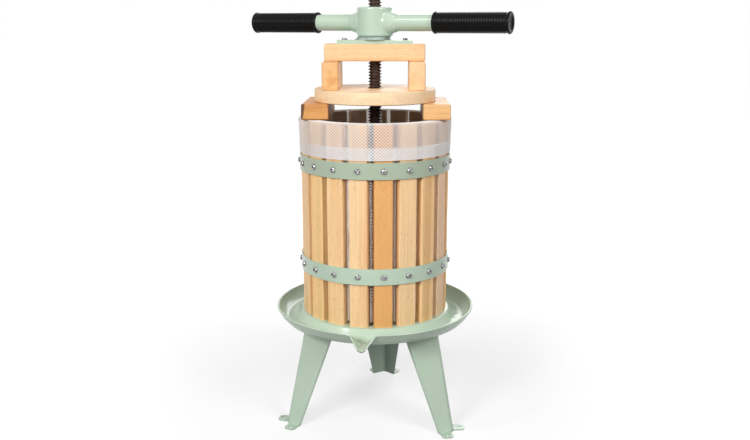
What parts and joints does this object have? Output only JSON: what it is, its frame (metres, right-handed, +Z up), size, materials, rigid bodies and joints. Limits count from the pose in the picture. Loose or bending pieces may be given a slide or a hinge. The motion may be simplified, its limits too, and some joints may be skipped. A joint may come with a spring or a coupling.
{
  "type": "hand cranked fruit press",
  "caption": "Hand-cranked fruit and cider press: slatted wooden basket with mesh bag in a spouted steel tray on folded legs, threaded spindle, wooden blocks and a two-armed screw handle.",
  "frame": {"origin": "on the ground, on the axis of the spindle", "axes": "+Z up along the spindle, -Y towards the pouring spout, +X to the right seen from the spout"},
  "size_m": [0.4482, 0.3637, 0.757],
  "materials": {
    "sage_paint": "semi-gloss powder coat",
    "zinc_plate": "bright zinc plate",
    "beech": "planed, thin clear oil",
    "oiled_screw": "dark oiled steel",
    "bare_steel": "turned, dull",
    "grip_rubber": "satin, finely ribbed",
    "bag_mesh": "open woven nylon mesh"
  },
  "bodies": {
    "stand": {"tray": "sage_paint", "leg_left": "sage_paint", "leg_right": "sage_paint", "leg_rear": "sage_paint", "leg_bolts": "zinc_plate", "leg_nuts": "zinc_plate", "spindle": "oiled_screw", "spindle_collar": "oiled_screw", "base_plate": "sage_paint", "spindle_washer": "zinc_plate", "spindle_nut": "zinc_plate"},
    "basket": {"slat_01": "beech", "slat_02": "beech", "slat_03": "beech", "slat_04": "beech", "slat_05": "beech", "slat_06": "beech", "slat_07": "beech", "slat_08": "beech", "slat_09": "beech", "slat_10": "beech", "slat_11": "beech", "slat_12": "beech", "slat_13": "beech", "slat_14": "beech", "slat_15": "beech", "slat_16": "beech", "slat_17": "beech", "slat_18": "beech", "slat_19": "beech", "hoop_lower": "sage_paint", "hoop_upper": "sage_paint", "hoop_screws_lower": "zinc_plate", "hoop_screws_upper": "zinc_plate"},
    "bag": {"filter_bag": "bag_mesh"},
    "left_lower_block": {"lower_block_left": "beech"},
    "right_lower_block": {"lower_block_right": "beech"},
    "press_board": {"press_board_front": "beech", "press_board_rear": "beech"},
    "left_upper_block": {"upper_block_left": "beech"},
    "right_upper_block": {"upper_block_right": "beech"},
    "head": {"crossbar": "beech", "thrust_plate": "sage_paint", "plate_screws": "zinc_plate", "thrust_collar": "bare_steel"},
    "handle": {"hub": "sage_paint", "handle_tube_left": "sage_paint", "handle_tube_right": "sage_paint", "grip_left": "grip_rubber", "grip_right": "grip_rubber"}
  },
  "joints": [
    {"name": "basket_lift", "type": "slide", "parent": "stand", "child": "basket", "axis": [0, 0, 1], "range_m": [0, 0.3]},
    {"name": "bag_lift", "type": "slide", "parent": "basket", "child": "bag", "axis": [0, 0, 1], "range_m": [0, 0.34]},
    {"name": "left_lower_block_draw", "type": "slide", "parent": "bag", "child": "left_lower_block", "axis": [-0.9956, -0.0941, 0], "range_m": [0, 0.12]},
    {"name": "right_lower_block_draw", "type": "slide", "parent": "bag", "child": "right_lower_block", "axis": [0.9956, 0.0941, 0], "range_m": [0, 0.12]},
    {"name": "board_lift", "type": "slide", "parent": "bag", "child": "press_board", "axis": [0, 0, 1], "range_m": [0, 0.1]},
    {"name": "left_upper_block_draw", "type": "slide", "parent": "press_board", "child": "left_upper_block", "axis": [-0.9956, -0.0941, 0], "range_m": [0, 0.12]},
    {"name": "right_upper_block_draw", "type": "slide", "parent": "press_board", "child": "right_upper_block", "axis": [0.9956, 0.0941, 0], "range_m": [0, 0.12]},
    {"name": "head_travel", "type": "slide", "parent": "press_board", "child": "head", "axis": [0, 0, 1], "range_m": [0, 0.0501]},
    {"name": "handle_turn", "type": "hinge", "parent": "head", "child": "handle", "pos_m": [0, 0, 0.681], "axis": [0, 0, 1], "range_deg": [0, 3600]}
  ],
  "couplings": [
    {"joint": "head_travel", "follows": "handle_turn", "m_per_rad": 0.00079577}
  ]
}
